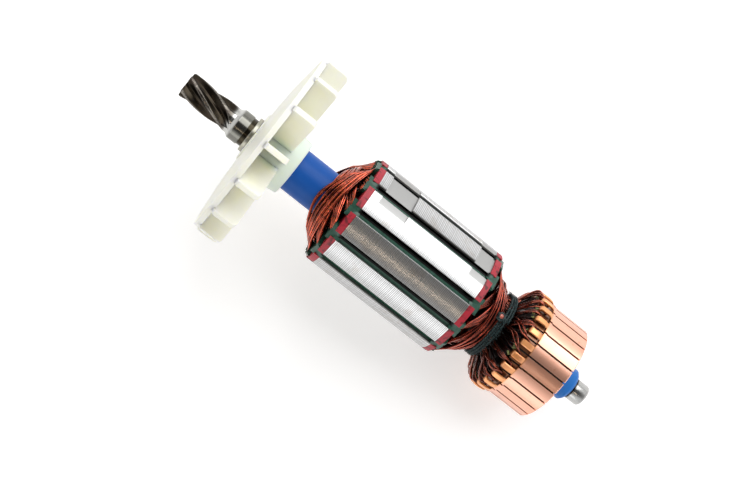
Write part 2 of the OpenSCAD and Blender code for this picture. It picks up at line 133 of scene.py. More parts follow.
def soft_lamp(name, lean, length, width, energy, color=(1, 1, 1)):
    data = bpy.data.lights.new(name, "AREA")
    data.shape = "RECTANGLE"
    data.size = length
    data.size_y = width
    data.energy = energy
    data.color = color
    lamp = bpy.data.objects.new(name, data)
    direction = Vector((0, math.sin(math.radians(lean)), math.cos(math.radians(lean))))
    lamp.location = aim + direction * LAMP_DISTANCE + LAMP_SHIFT
    lamp.rotation_euler = direction.to_track_quat("Z", "Y").to_euler()
    bpy.context.collection.objects.link(lamp)


soft_lamp("key_softbox", 44, 0.9, 0.62, 5.2)
soft_lamp("fill_softbox", -74, 0.9, 0.35, 0.95)
soft_lamp("strip_light", -24, 1.1, 0.02, 0.5, (1.0, 0.8, 0.6))

# %% Shade the sky
SKY_RAMP = {"From Min": 0.55, "From Max": 0.76, "To Min": 1.0, "To Max": 0.10}
world = bpy.data.worlds.new("studio")
bpy.context.scene.world = world
world.use_nodes = True
sky = world.node_tree
sky_dir = sky.nodes.new("ShaderNodeTexCoord")
sky_split = sky.nodes.new("ShaderNodeSeparateXYZ")
sky_ramp = sky.nodes.new("ShaderNodeMapRange")
for label, value in SKY_RAMP.items():
    sky_ramp.inputs[label].default_value = value
sky.links.new(sky_dir.outputs["Generated"], sky_split.inputs[0])
sky.links.new(sky_split.outputs["Z"], sky_ramp.inputs["Value"])
sky.links.new(sky_ramp.outputs[0], sky.nodes["Background"].inputs["Color"])
bpy.context.scene.view_settings.view_transform = "Standard"
print("Sky:", world.name)

# %% [markdown]
# ## A white table
# The table is a plain pale plane. Where the camera sees it, it also glows a
# little, which lifts the background to white while the shadow that falls on it
# stays. Mirrored and refracted rays see the glow too, so that metal shows the
# same white table, but no diffuse light comes from it.

# %% Lay the table
TABLE_GLOW = 0.4
TABLE_GREY = 0.86
TABLE_HALF = 2.0


def feed(tree, socket, value):
    if isinstance(value, bpy.types.NodeSocket):
        tree.links.new(value, socket)
    else:
        socket.default_value = value


def maths(tree, operation, a, b=0.0):
    node = tree.nodes.new("ShaderNodeMath")
    node.operation = operation
    feed(tree, node.inputs[0], a)
    feed(tree, node.inputs[1], b)
    return node.outputs[0]


floor_mesh = bpy.data.meshes.new("table")
table_corners = [(x * TABLE_HALF, y * TABLE_HALF, 0) for x, y in ((-1, -1), (1, -1), (1, 1), (-1, 1))]
floor_mesh.from_pydata(table_corners, [], [(0, 1, 2, 3)])
floor = bpy.data.objects.new("table", floor_mesh)
bpy.context.collection.objects.link(floor)
table_paint = bpy.data.materials.new("table_white")
table_paint.use_nodes = True
tree = table_paint.node_tree
tree.nodes.clear()
paint = tree.nodes.new("ShaderNodeBsdfDiffuse")
paint.inputs["Color"].default_value = (TABLE_GREY, TABLE_GREY, TABLE_GREY, 1)
glow = tree.nodes.new("ShaderNodeEmission")
rays = tree.nodes.new("ShaderNodeLightPath").outputs
seen = maths(tree, "MAXIMUM", rays["Is Camera Ray"], rays["Is Glossy Ray"])
seen = maths(tree, "MAXIMUM", seen, rays["Is Transmission Ray"])
feed(tree, glow.inputs["Strength"], maths(tree, "MULTIPLY", seen, TABLE_GLOW))
both = tree.nodes.new("ShaderNodeAddShader")
out = tree.nodes.new("ShaderNodeOutputMaterial")
tree.links.new(paint.outputs[0], both.inputs[0])
tree.links.new(glow.outputs[0], both.inputs[1])
tree.links.new(both.outputs[0], out.inputs["Surface"])
floor_mesh.materials.append(table_paint)
floor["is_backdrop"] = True
print("Table laid,", 2 * TABLE_HALF, "m across")

# %% [markdown]
# ## Effects that several finishes share
# Turned metal, stacked sheet and brushed copper all carry marks that follow the
# shaft, so the first node group turns a point of the surface into shaft
# millimetres: how far along, how far out and how far round. The second makes
# fine uneven rings, the third scattered stains, and the fourth paints shade in crevices.
# Each is built once and put into every material that needs it, with its own
# numbers.

# %% Node group helpers
FLOAT = "NodeSocketFloat"
VECTOR = "NodeSocketVector"


def new_group(name, inputs, outputs):
    group = bpy.data.node_groups.new(name, "ShaderNodeTree")
    for label, value in inputs:
        kind = VECTOR if isinstance(value, tuple) else FLOAT
        socket = group.interface.new_socket(label, in_out="INPUT", socket_type=kind)
        socket.default_value = value
    for label, kind in outputs:
        group.interface.new_socket(label, in_out="OUTPUT", socket_type=kind)
    return group, group.nodes.new("NodeGroupInput"), group.nodes.new("NodeGroupOutput")


def mapped(tree, value, low, high, to_low=0.0, to_high=1.0):
    node = tree.nodes.new("ShaderNodeMapRange")
    for label, number in (("Value", value), ("From Min", low), ("From Max", high),
                          ("To Min", to_low), ("To Max", to_high)):
        feed(tree, node.inputs[label], number)
    return node.outputs[0]


def noise(tree, place, scale, detail=2.0):
    node = tree.nodes.new("ShaderNodeTexNoise")
    feed(tree, node.inputs["Vector"], place)
    feed(tree, node.inputs["Scale"], scale)
    node.inputs["Detail"].default_value = detail
    return node.outputs["Fac"]


print("Group helpers ready, for", FLOAT, "and", VECTOR)

# %% Group: place along, out from and round the shaft
shaft_place, entry, leave = new_group(
    "shaft_place", [], [("Place", VECTOR), ("Along", FLOAT), ("Out", FLOAT), ("Turn", FLOAT)])
shift, spin, zoom = shaft_frame.inverted().decompose()
coordinates = shaft_place.nodes.new("ShaderNodeTexCoord")
mapping = shaft_place.nodes.new("ShaderNodeMapping")
mapping.inputs["Location"].default_value = shift
mapping.inputs["Rotation"].default_value = spin.to_euler("XYZ")
mapping.inputs["Scale"].default_value = zoom
split = shaft_place.nodes.new("ShaderNodeSeparateXYZ")
shaft_place.links.new(coordinates.outputs["Object"], mapping.inputs["Vector"])
shaft_place.links.new(mapping.outputs[0], split.inputs[0])
x_mm, y_mm, z_mm = split.outputs
radius_squared = maths(shaft_place, "ADD", maths(shaft_place, "MULTIPLY", x_mm, x_mm),
                       maths(shaft_place, "MULTIPLY", y_mm, y_mm))
shaft_place.links.new(mapping.outputs[0], leave.inputs["Place"])
shaft_place.links.new(z_mm, leave.inputs["Along"])
shaft_place.links.new(maths(shaft_place, "SQRT", radius_squared), leave.inputs["Out"])
shaft_place.links.new(maths(shaft_place, "ARCTAN2", y_mm, x_mm), leave.inputs["Turn"])
print("Group built:", shaft_place.name)

# %% Group: fine uneven rings round the shaft
turned_rings, entry, leave = new_group(
    "turned_rings", [("Along", 0.0), ("Pitch", 0.2)], [("Height", FLOAT)])
ring_noise = turned_rings.nodes.new("ShaderNodeTexNoise")
ring_noise.noise_dimensions = "1D"
ring_noise.inputs["Detail"].default_value = 1.0
ring_noise.inputs["Scale"].default_value = 1.0
feed(turned_rings, ring_noise.inputs["W"],
     maths(turned_rings, "DIVIDE", entry.outputs["Along"], entry.outputs["Pitch"]))
turned_rings.links.new(ring_noise.outputs["Fac"], leave.inputs["Height"])
print("Group built:", turned_rings.name)

# %% Group: scattered stains
stains, entry, leave = new_group(
    "stains", [("Place", (0.0, 0.0, 0.0)), ("Size", 3.0), ("Amount", 0.4)], [("Mask", FLOAT)])
blotch = noise(stains, entry.outputs["Place"],
               maths(stains, "DIVIDE", 1.0, entry.outputs["Size"]), 4.0)
edge = maths(stains, "SUBTRACT", 0.78, maths(stains, "MULTIPLY", entry.outputs["Amount"], 0.5))
stains.links.new(mapped(stains, blotch, edge, maths(stains, "ADD", edge, 0.12)),
                 leave.inputs["Mask"])
print("Group built:", stains.name)

# %% Group: painted shade in crevices, found by ambient occlusion
crevices, entry, leave = new_group("crevices", [("Reach", 1.0)], [("Mask", FLOAT)])
hollow = crevices.nodes.new("ShaderNodeAmbientOcclusion")
hollow.samples = 6
feed(crevices, hollow.inputs["Distance"],
     maths(crevices, "MULTIPLY", entry.outputs["Reach"], MM))
crevices.links.new(mapped(crevices, hollow.outputs["AO"], 0.25, 0.8, 1.0, 0.0),
                   leave.inputs["Mask"])
print("Group built:", crevices.name)

# %% [markdown]
# ## One way of starting every finish
# Each material begins as a Principled shader with plain values on its own
# sockets. A small helper then mixes two colours by a mask and another turns a
# height into a bump, so each finish below reads as a short recipe.

# %% Material helpers


class Finish:
    def __init__(self, name, color, roughness, metallic=0.0, coat=0.0, coat_roughness=0.1):
        self.material = bpy.data.materials.new(name)
        self.material.use_nodes = True
        self.tree = self.material.node_tree
        self.shader = self.tree.nodes["Principled BSDF"]
        self.color = (*color, 1.0)
        self.set("Base Color", self.color)
        self.set("Roughness", roughness)
        self.set("Metallic", metallic)
        self.set("Coat Weight", coat)
        self.set("Coat Roughness", coat_roughness)
        self.place = self.group(shaft_place)

    def group(self, group, **values):
        node = self.tree.nodes.new("ShaderNodeGroup")
        node.node_tree = group
        for label, value in values.items():
            feed(self.tree, node.inputs[label], value)
        return node.outputs

    def ramp(self, value, low, high, to_low=0.0, to_high=1.0):
        return mapped(self.tree, value, low, high, to_low, to_high)

    def maths(self, operation, a, b=0.0):
        return maths(self.tree, operation, a, b)

    def times(self, a, b):
        return self.maths("MULTIPLY", a, b)

    def away_from(self, station):
        """Distance along the shaft from one station, in millimetres."""
        return self.maths("ABSOLUTE", self.maths("SUBTRACT", self.place["Along"], station))

    def stain(self, size, amount):
        return self.group(stains, Place=self.place["Place"], Size=size, Amount=amount)["Mask"]

    def turned(self, pitch, way="Along"):
        return self.group(turned_rings, Along=self.place[way], Pitch=pitch)["Height"]

    # painted shade: a mask of crevices, from ambient occlusion
    def crevice(self, reach):
        return self.group(crevices, Reach=reach)["Mask"]

    def cloud(self, scale, detail=2.0):
        return noise(self.tree, self.place["Place"], scale, detail)

    def blend(self, mask, color):
        node = self.tree.nodes.new("ShaderNodeMix")
        node.data_type = "RGBA"
        feed(self.tree, node.inputs[0], mask)
        feed(self.tree, node.inputs[6], self.color)
        feed(self.tree, node.inputs[7], (*color, 1.0))
        self.color = node.outputs[2]
        self.set("Base Color", self.color)

    def set(self, label, value):
        feed(self.tree, self.shader.inputs[label], value)

    def bump(self, height, distance, strength=1.0):
        node = self.tree.nodes.new("ShaderNodeBump")
        node.inputs["Strength"].default_value = strength
        node.inputs["Distance"].default_value = distance * MM
        self.tree.links.new(height, node.inputs["Height"])
        self.set("Normal", node.outputs[0])


print("A finish has:", ", ".join(name for name in vars(Finish) if not name.startswith("_")))

# %% [markdown]
# ## Steel
# The pinion is cut steel, dark with oil and heat, while the bearing seats are
# ground bright. Both are one piece of metal, so one material changes colour
# along the shaft. The sheet edges of the core are paler, and each sheet
# catches the light a little differently.

# %% Mix the steels
TAIL_START = 140
PINION_END = 16.0
UNDERCUT_MIDDLE = 22.5
RUNOUT_MIDDLE = 17.2
COLLAR_EDGE = 148.0
steel = Finish("ground_steel", (0.18, 0.178, 0.158), 0.2, metallic=1.0)
steel.blend(steel.ramp(steel.place["Along"], TAIL_START, TAIL_START + 1), (0.44, 0.44, 0.43))
on_pinion = steel.ramp(steel.place["Along"], PINION_END + 0.6, PINION_END - 0.8)
# painted highlight: a pale band round the cutter's run-out, where its crescents catch the light
runout_highlight = steel.away_from(RUNOUT_MIDDLE)
steel.blend(steel.ramp(runout_highlight, 1.5, 0.7), (0.52, 0.52, 0.50))
steel.blend(on_pinion, (0.034, 0.028, 0.020))
on_lands = steel.times(on_pinion, steel.ramp(steel.place["Out"], 3.95, 4.15))
steel.blend(on_lands, (0.17, 0.155, 0.135))
oil = steel.stain(2.2, 0.55)
steel.blend(steel.times(steel.times(oil, 0.7), on_pinion), (0.035, 0.026, 0.02))
# painted shade: a dark band in the undercut groove beside the bearing seat
groove_shade = steel.away_from(UNDERCUT_MIDDLE)
steel.blend(steel.ramp(groove_shade, 0.8, 0.7), (0.045, 0.038, 0.025))
# painted shadow: a dark band on the steel just beyond the blue collar
collar_shadow = steel.away_from(COLLAR_EDGE)
steel.blend(steel.ramp(collar_shadow, 0.9, 0.5), (0.03, 0.028, 0.025))
# painted shade: the pinion's tooth roots darkened where the crevice mask finds them
root_shade = steel.crevice(1.5)
steel.blend(steel.times(root_shade, on_pinion), (0.012, 0.010, 0.008))
steel.set("Roughness", steel.ramp(on_pinion, 0, 1, 0.19, 0.26))
grind = steel.turned(0.12)
steel.bump(grind, 0.0025)
ring_steel = Finish("ring_steel", (0.38, 0.37, 0.31), 0.28, metallic=1.0)
ring_marks = ring_steel.turned(0.1, "Out")
ring_steel.bump(ring_marks, 0.004)
print("Steels:", steel.material.name, ring_steel.material.name)

# %% Mix the sheet steel
SHEET = 0.5
SHEET_START = 61.1
sheets = Finish("laminations", (0.65, 0.655, 0.66), 0.28, metallic=1.0)
sheet_tone = sheets.turned(SHEET * 0.6)
sheets.blend(sheets.ramp(sheet_tone, 0.42, 0.75, 0.0, 0.4), (0.30, 0.29, 0.28))
from_start = sheets.maths("SUBTRACT", sheets.place["Along"], SHEET_START)
sheet_part = sheets.maths("FRACT", sheets.maths("DIVIDE", from_start, SHEET))
off_middle = sheets.maths("ABSOLUTE", sheets.maths("SUBTRACT", sheet_part, 0.5))
sheets.blend(sheets.ramp(off_middle, 0.30, 0.42, 0.0, 0.5), (0.12, 0.115, 0.11))
rust = sheets.stain(5.0, 0.42)
sheets.blend(sheets.times(rust, 0.3), (0.36, 0.31, 0.26))
cut_away = sheets.times(sheets.ramp(sheets.place["Out"], 18.42, 18.36),
                        sheets.ramp(sheets.place["Out"], 17.5, 17.6))
sheets.blend(cut_away, (0.40, 0.40, 0.395))
sheets.set("Roughness", sheets.ramp(cut_away, 0, 1, 0.28, 0.46))
# painted shade: seams and slot edges of the stack darkened where the crevice mask finds them
seam_shade = sheets.crevice(0.3)
sheets.blend(sheets.times(seam_shade, 0.8), (0.05, 0.045, 0.04))
sheets.bump(sheet_tone, 0.006, 0.7)
print("Sheet steel:", sheets.material.name)

# %% [markdown]
# ## Copper
# The brush track is turned copper, pale and matt, with rings left by the tool
# and brown specks from the brushes. The hooks were welded hot, so they are
# deeper in colour and glossier, and the hollow behind them is brown.

# %% Mix the copper
HOOK_END = 126.9
copper = Finish("bar_copper", (0.88, 0.455, 0.32), 0.35, 1.0, coat=0.4, coat_roughness=0.12)
copper.set("Coat IOR", 1.9)
on_hooks = copper.ramp(copper.place["Along"], HOOK_END + 0.4, HOOK_END - 0.2)
copper.blend(on_hooks, (0.86, 0.37, 0.14))
sunk = copper.ramp(copper.place["Out"], 16.35, 15.9)
copper.blend(copper.times(sunk, on_hooks), (0.30, 0.12, 0.05))
specks = copper.stain(1.6, 0.28)
copper.blend(copper.times(specks, 0.6), (0.62, 0.20, 0.08))
film = copper.stain(7.0, 0.55)
copper.blend(copper.times(film, 0.16), (0.55, 0.28, 0.18))
# painted shade: the hooks' crevices darkened where the crevice mask finds them
soot_and_crevice_shade = copper.crevice(1.2)
copper.blend(copper.times(copper.times(soot_and_crevice_shade, on_hooks), 0.9), (0.07, 0.025, 0.01))
copper.set("Roughness", copper.ramp(on_hooks, 0, 1, 0.34, 0.40))
tool_marks = copper.turned(0.14)
copper.bump(tool_marks, 0.004, 0.8)
print("Copper:", copper.material.name)

# %% [markdown]
# ## Enamelled wire
# Magnet wire is copper under a clear red-brown enamel, and the whole winding is
# dipped in varnish. Metal under a glossy coat gives the orange streaks, and
# painted shade between the strands gives the nearly black ground. Every strand
# is an island of its own in the mesh, so a random value per island makes some
# strands lighter than others.

# %% Mix the wire
CORE_MIDDLE = 82.1


def wire_finish(name, light, dark, reach):
    wire = Finish(name, light, 0.22, metallic=0.9, coat=0.9, coat_roughness=0.04)
    by_strand = wire.tree.nodes.new("ShaderNodeNewGeometry").outputs["Random Per Island"]
    wire.blend(wire.ramp(by_strand, 0.25, 1.0, 0.0, 0.85), dark)
    # a random dark stain of soot
    soot_and_crevice_shade = wire.stain(2.6, 0.62)
    wire.blend(wire.times(soot_and_crevice_shade, 0.6), (0.05, 0.014, 0.008))
    far_end = wire.ramp(wire.place["Along"], CORE_MIDDLE, CORE_MIDDLE + 1)
    wire.blend(wire.times(far_end, 0.6), dark)
    # painted shade: near black between the strands, where the crevice mask finds gaps; the coat fades
    # there too
    gap_shade = wire.crevice(reach)
    wire.blend(gap_shade, (0.006, 0.003, 0.002))
    # painted shade: wire near black within the core and just beyond its ends, where it lies in the
    # slots
    slot_shade_distance = wire.away_from(CORE_MIDDLE)
    wire.blend(wire.ramp(slot_shade_distance, 23.6, 22.8), (0.006, 0.005, 0.004))
    wire.set("Coat Weight", wire.ramp(gap_shade, 0, 1, 0.55, 0.1))
    wire.bump(wire.cloud(1.4), 0.05, 0.5)
    return wire


coil_wire = wire_finish("coil_wire", (0.82, 0.135, 0.062), (0.15, 0.024, 0.015), 1.5)
# painted light: the leads' wire is a lighter, more contrasted copy of the coil wire
lead_wire = wire_finish("lead_wire", (1.0, 0.22, 0.11), (0.10, 0.02, 0.013), 1.8)
# painted shade: the strands deep in the neck are a near-black copy of the same wire
shaded_neck_wire = wire_finish("shaded_neck_wire", (0.12, 0.024, 0.016), (0.02, 0.008, 0.006), 2.2)
print("Wires:", coil_wire.material.name, lead_wire.material.name, shaded_neck_wire.material.name)

# %% [markdown]
# ## Plastics, paper, fibre and cord
# The fan is natural nylon, milky and a little see-through. The sleeve is a
# smooth blue moulding. Slot paper is green and soaked with varnish, and the end
# plates are pressed red fibre with a faint grain. The cord is dark and fuzzy.

# %% Mix the nylon and the blue plastic
nylon = Finish("fan_nylon", (0.945, 0.94, 0.82), 0.45)
nylon.set("Subsurface Weight", 0.7)
nylon.set("Subsurface Radius", (1.0, 0.95, 0.6))
nylon.set("Subsurface Scale", 3.0 * MM)
yellowing = nylon.stain(14.0, 0.6)
nylon.blend(nylon.times(yellowing, 0.4), (0.92, 0.91, 0.74))
# painted light: a green tint near the hub, where the blue sleeve's light shows through the nylon
painted_sleeve_tint = nylon.times(nylon.ramp(nylon.place["Out"], 14.0, 9.0),
                          nylon.ramp(nylon.place["Along"], 27.5, 31.0))
nylon.blend(nylon.times(painted_sleeve_tint, 0.75), (0.70, 0.87, 0.74))
nylon.bump(nylon.cloud(0.5, 3.0), 0.12, 0.6)

blue = Finish("blue_sleeve", (0.008, 0.085, 0.37), 0.38)
blue.set("Specular IOR Level", 0.18)
dull = blue.stain(6.0, 0.6)
blue.blend(blue.times(dull, 0.3), (0.012, 0.10, 0.42))
# painted light: the collar at the end is a lighter blue than the rest of the same moulding
blue.blend(blue.ramp(blue.place["Along"], TAIL_START - 1, TAIL_START + 1), (0.02, 0.16, 0.52))
# painted shade: the sleeve near black under the winding, so little blue shows between the wires
shade_under_coils = blue.away_from(CORE_MIDDLE)
blue.blend(blue.ramp(shade_under_coils, 31.0, 30.0), (0.012, 0.007, 0.006))
blue.bump(blue.cloud(0.9), 0.03, 0.6)
print("Plastics:", nylon.material.name, blue.material.name)

# %% Mix the slot paper, with painted shade in the slots' mouths
FIRST_SLOT = math.radians(-20)
SLOT_PITCH = math.radians(30)
green = Finish("green_paper", (0.008, 0.06, 0.036), 0.45, coat=0.5, coat_roughness=0.12)
creases = green.cloud(0.8, 5.0)
green.blend(green.ramp(creases, 0.45, 0.75), (0.025, 0.10, 0.07))
from_first = green.maths("SUBTRACT", green.place["Turn"], FIRST_SLOT)
slot_turn = green.maths("FRACT", green.maths("DIVIDE", from_first, SLOT_PITCH))
slot_part = green.maths("SUBTRACT", slot_turn, 0.5)
in_mouth = green.times(green.ramp(green.place["Out"], 16.6, 16.9),
                       green.ramp(green.away_from(CORE_MIDDLE), 21.6, 20.8))
# painted shade: a near-black strip on one side of each slot's mouth, with little coat or shine
slot_mouth_shade = green.times(in_mouth, green.ramp(slot_part, 0.03, 0.015))
green.blend(slot_mouth_shade, (0.004, 0.004, 0.004))
green.set("Coat Weight", green.ramp(slot_mouth_shade, 0, 1, 0.4, 0.08))
green.set("Specular IOR Level", green.ramp(slot_mouth_shade, 0, 1, 0.4, 0.1))
green.bump(creases, 0.2, 0.6)
print("Paper:", green.material.name)

# %% Mix the fibre, the cord and the moulding
red = Finish("red_fibre", (0.40, 0.013, 0.03), 0.5)
spots = red.stain(1.6, 0.5)
red.blend(red.times(spots, 0.8), (0.03, 0.004, 0.005))
grain = red.turned(0.25)
red.blend(red.ramp(grain, 0.5, 0.8, 0.0, 0.6), (0.24, 0.008, 0.02))
red.bump(grain, 0.05, 0.7)
cord_dark = Finish("tie_cord", (0.006, 0.020, 0.022), 0.6, coat=0.35, coat_roughness=0.25)
cord_dark.set("Specular IOR Level", 0.15)
fluff = cord_dark.cloud(3.0, 4.0)
cord_dark.blend(cord_dark.ramp(fluff, 0.5, 0.75), (0.10, 0.16, 0.16))
cord_dark.bump(fluff, 0.1)
phenolic = Finish("moulded_hub", (0.016, 0.010, 0.008), 0.5)
filler = phenolic.cloud(3.5, 4.0)
phenolic.blend(phenolic.ramp(filler, 0.55, 0.8), (0.18, 0.09, 0.045))
phenolic.bump(filler, 0.05)
print("Materials:", len(bpy.data.materials))

# %% [markdown]
# ## Making pieces from rings, plates and tubes
# Three ways of making a surface cover the whole motor. Rings of points joined
# end to end make everything turned or stacked, a flat outline given thickness
# makes blades and hooks, and a tube along a line makes wire. A `Shape` only
# collects points and faces, and `make_piece` turns it into a Blender object that
# hangs from the root empty and hides the CAD nodes it stands in for.

# %% Shape helpers


def polar(radius, degrees, along):
    a = math.radians(degrees)
    return (radius * math.cos(a), radius * math.sin(a), along)


class Shape:
    def __init__(self):
        self.points = []
        self.faces = []

    def rings(self, rings, closed=False, capped=True):
        first = len(self.points)
        n = len(rings[0])
        m = len(rings)
        for ring in rings:
            self.points.extend(ring)
        for i in range(m if closed else m - 1):
            a, b = first + i * n, first + (i + 1) % m * n
            for j in range(n):
                k = (j + 1) % n
                self.faces.append((a + j, a + k, b + k, b + j))
        if capped and not closed:
            self.faces.append(tuple(range(first + n - 1, first - 1, -1)))
            self.faces.append(tuple(range(first + (m - 1) * n, first + m * n)))

    def turn(self, profile, start=0.0, sweep=360.0, steps=128):
        whole = sweep >= 360
        stops = range(steps if whole else steps + 1)
        rings = [[polar(r, start + sweep * i / steps, z) for r, z in profile] for i in stops]
        self.rings(rings, closed=whole)

    def plate(self, outline, thickness, degrees):
        c, s = math.cos(math.radians(degrees)), math.sin(math.radians(degrees))
        sheet = []
        for y in (-thickness / 2, thickness / 2):
            sheet.append([(x * c - y * s, x * s + y * c, z) for x, z in outline])
        self.rings(sheet)

    def rounded_plate(self, outline, thickness, degrees, edge):
        """A plate whose outline (given clockwise) has rounded edges."""
        c, s = math.cos(math.radians(degrees)), math.sin(math.radians(degrees))
        n = len(outline)
        sheets = []
        for side, depth in ((-1, 1), (-1, 0.3), (-1, 0), (1, 0), (1, 0.3), (1, 1)):
            y = side * (thickness / 2 - edge * (1 - depth) ** 1.5)
            sheet = []
            for i in range(n):
                ahead, behind = outline[(i + 1) % n], outline[i - 1]
                dx, dz = ahead[0] - behind[0], ahead[1] - behind[1]
                size = math.hypot(dx, dz)
                x = outline[i][0] - dz / size * edge * depth
                z = outline[i][1] + dx / size * edge * depth
                sheet.append((x * c - y * s, x * s + y * c, z))
            sheets.append(sheet)
        self.rings(sheets)

    def tube(self, line, radius, sides=6, closed=False):
        line = [Vector(p) for p in line]
        m = len(line)
        radii = radius if isinstance(radius, list) else [radius] * m
        rings = []
        lean = None
        for i in range(m):
            ahead = line[(i + 1) % m] if closed or i < m - 1 else line[i]
            behind = line[i - 1] if closed or i > 0 else line[i]
            way = (ahead - behind).normalized()
            if lean is None:
                lean = way.orthogonal().normalized()
            lean = (lean - way * lean.dot(way)).normalized()
            across = way.cross(lean)
            ring = []
            for j in range(sides):
                a = 2 * math.pi * j / sides
                ring.append(line[i] + (lean * math.cos(a) + across * math.sin(a)) * radii[i])
            rings.append(ring)
        self.rings(rings, closed=closed)


def make_piece(name, shape, finish, nodes=(), soften=0.0, crease=32):
    mesh = bpy.data.meshes.new(name)
    work = bmesh.new()
    corners = [work.verts.new(shaft_frame @ Vector(p)) for p in shape.points]
    for face in shape.faces:
        work.faces.new([corners[i] for i in face])
    bmesh.ops.remove_doubles(work, verts=work.verts, dist=1e-7)
    bmesh.ops.recalc_face_normals(work, faces=work.faces)
    work.to_mesh(mesh)
    work.free()
    mesh.shade_smooth()
    mesh.set_sharp_from_angle(angle=math.radians(crease))
    mesh.materials.append(finish.material)
    piece = bpy.data.objects.new(name, mesh)
    bpy.context.collection.objects.link(piece)
    if soften:
        edges = piece.modifiers.new("soft_edges", "BEVEL")
        edges.width = soften * MM
        edges.segments = 2
        edges.limit_method = "ANGLE"
        edges.angle_limit = math.radians(38)
        edges.harden_normals = True
    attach(piece, "root")
    if nodes:
        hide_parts(*nodes)


def arc(center, radius, start, stop, steps):
    spread = [start + (stop - start) * i / steps for i in range(steps + 1)]
    return [(center[0] + radius * math.cos(math.radians(a)),
             center[1] + radius * math.sin(math.radians(a))) for a in spread]


def flowing(points, per_span=5):
    """A smooth line through points of any dimension, by Catmull and Rom's rule."""
    line = []
    last = len(points) - 1
    for i in range(last):
        a, b, c, d = (points[max(0, min(last, i + k))] for k in (-1, 0, 1, 2))
        for k in range(per_span):
            t = k / per_span
            line.append(tuple(
                0.5 * (2 * q + (r - p) * t + (2 * p - 5 * q + 4 * r - s) * t * t
                       + (3 * q - p - 3 * r + s) * t ** 3)
                for p, q, r, s in zip(a, b, c, d)))
    line.append(tuple(points[-1]))
    return line


print("A shape has:", ", ".join(name for name in vars(Shape) if not name.startswith("_")))

# %% [markdown]
# ## The shaft and its helical pinion
# The pinion's five teeth are milled into the shaft on a helix, and the cutter
# swings out of the steel before the bearing seat, which leaves a crescent at
# the end of each tooth space. A ring of points follows the gear's outline at
# each station, turned a little further every time, and the rest of the shaft is
# turned from a profile.

# %% Cut the pinion
TIP_R = 4.2
ROOT_R = 2.6
JOURNAL_R = 5.0
TEETH = 5
LEAD = 58.0
CUTTER_R = 5.0
PINION_L = 18.4
SHOULDER_L = 1.2
PINION_BEVEL = 0.4
SPACE_ROOT = 0.35
SPACE_TIP = math.pi * TIP_R / TEETH - 0.75
runout_l = math.sqrt(2 * CUTTER_R * (JOURNAL_R - ROOT_R + 0.15))


def mix(a, b, f):
    return a + (b - a) * f


def blank_radius(z):
    if z < PINION_BEVEL:
        return TIP_R - PINION_BEVEL + z
    climb = (z - (PINION_L - SHOULDER_L)) / SHOULDER_L
    return mix(TIP_R, JOURNAL_R, min(max(climb, 0), 1))


def gear_radius(z, degrees):
    """Distance from the axis to the cut surface at one angle of one station."""
    pitch = 360 / TEETH
    off = (degrees - z * 360 / LEAD + pitch / 2) % pitch - pitch / 2
    floor_r = ROOT_R + max(0, z - (PINION_L - runout_l)) ** 2 / (2 * CUTTER_R)
    radius = floor_r
    for _ in range(6):
        across = abs(radius * math.sin(math.radians(off)))
        open_by = max(0, (across - SPACE_ROOT) / (SPACE_TIP - SPACE_ROOT))
        radius = 0.5 * radius + 0.5 * (floor_r + (TIP_R - ROOT_R) * open_by ** 1.25)
    return min(radius, blank_radius(z))


shaft = Shape()
gear_steps = TEETH * 44
stations = [0, PINION_BEVEL / 2, PINION_BEVEL] + [0.8 + 0.4 * i for i in range(45)]
gear_rings = []
for z in stations:
    angles = [360 * i / gear_steps for i in range(gear_steps)]
    gear_rings.append([polar(gear_radius(z, a), a, z) for a in angles])
shaft.rings(gear_rings)
print("Pinion stations:", len(stations), "of", gear_steps, "points")

# %% Turn the rest of the shaft
UNDERCUT_Z = 21.8
RING_Z = 23.2
FAN_Z = 24.4
CORE_END = 103.1
SLEEVE_END = 147.8
SHAFT_END = 153.2
TAIL_R = 4.1
STUB_R = 3.5
UNDERCUT = 0.3
shaft.turn([
    (0.01, PINION_L - 0.05), (JOURNAL_R - 0.04, PINION_L - 0.05), (JOURNAL_R, PINION_L + 0.05),
    (JOURNAL_R, UNDERCUT_Z - 0.1), (JOURNAL_R - 0.08, UNDERCUT_Z),
    (JOURNAL_R - UNDERCUT, UNDERCUT_Z), (JOURNAL_R - UNDERCUT, RING_Z), (JOURNAL_R, RING_Z),
    (JOURNAL_R, CORE_END), (TAIL_R, CORE_END), (TAIL_R, SLEEVE_END - UNDERCUT),
    (STUB_R - UNDERCUT, SLEEVE_END - UNDERCUT), (STUB_R - UNDERCUT, SLEEVE_END + UNDERCUT),
    (STUB_R, SLEEVE_END + UNDERCUT), (STUB_R, SHAFT_END - 0.75), (STUB_R - 0.12, SHAFT_END - 0.42),
    (STUB_R - 0.4, SHAFT_END - 0.12), (STUB_R - 0.75, SHAFT_END), (0.01, SHAFT_END)])
make_piece("motor_shaft", shaft, steel, ["shaft"], crease=28)

washer = Shape()
washer.turn([(JOURNAL_R + 0.02, RING_Z), (5.7, RING_Z), (5.85, RING_Z + 0.15),
             (5.85, FAN_Z - 0.15), (5.7, FAN_Z), (JOURNAL_R + 0.02, FAN_Z)])
make_piece("steel_washer", washer, ring_steel, ["spacer_ring"])
print("Shaft runs", SHAFT_END, "mm")

# %% [markdown]
# ## The fan
# The fan is one nylon moulding: a thin domed disc with a hub and straight
# blades on the core's side. The disc and hub are turned from a half section,
# and each blade is an outline given thickness. A bevel modifier rounds the
# edges as a mould does.

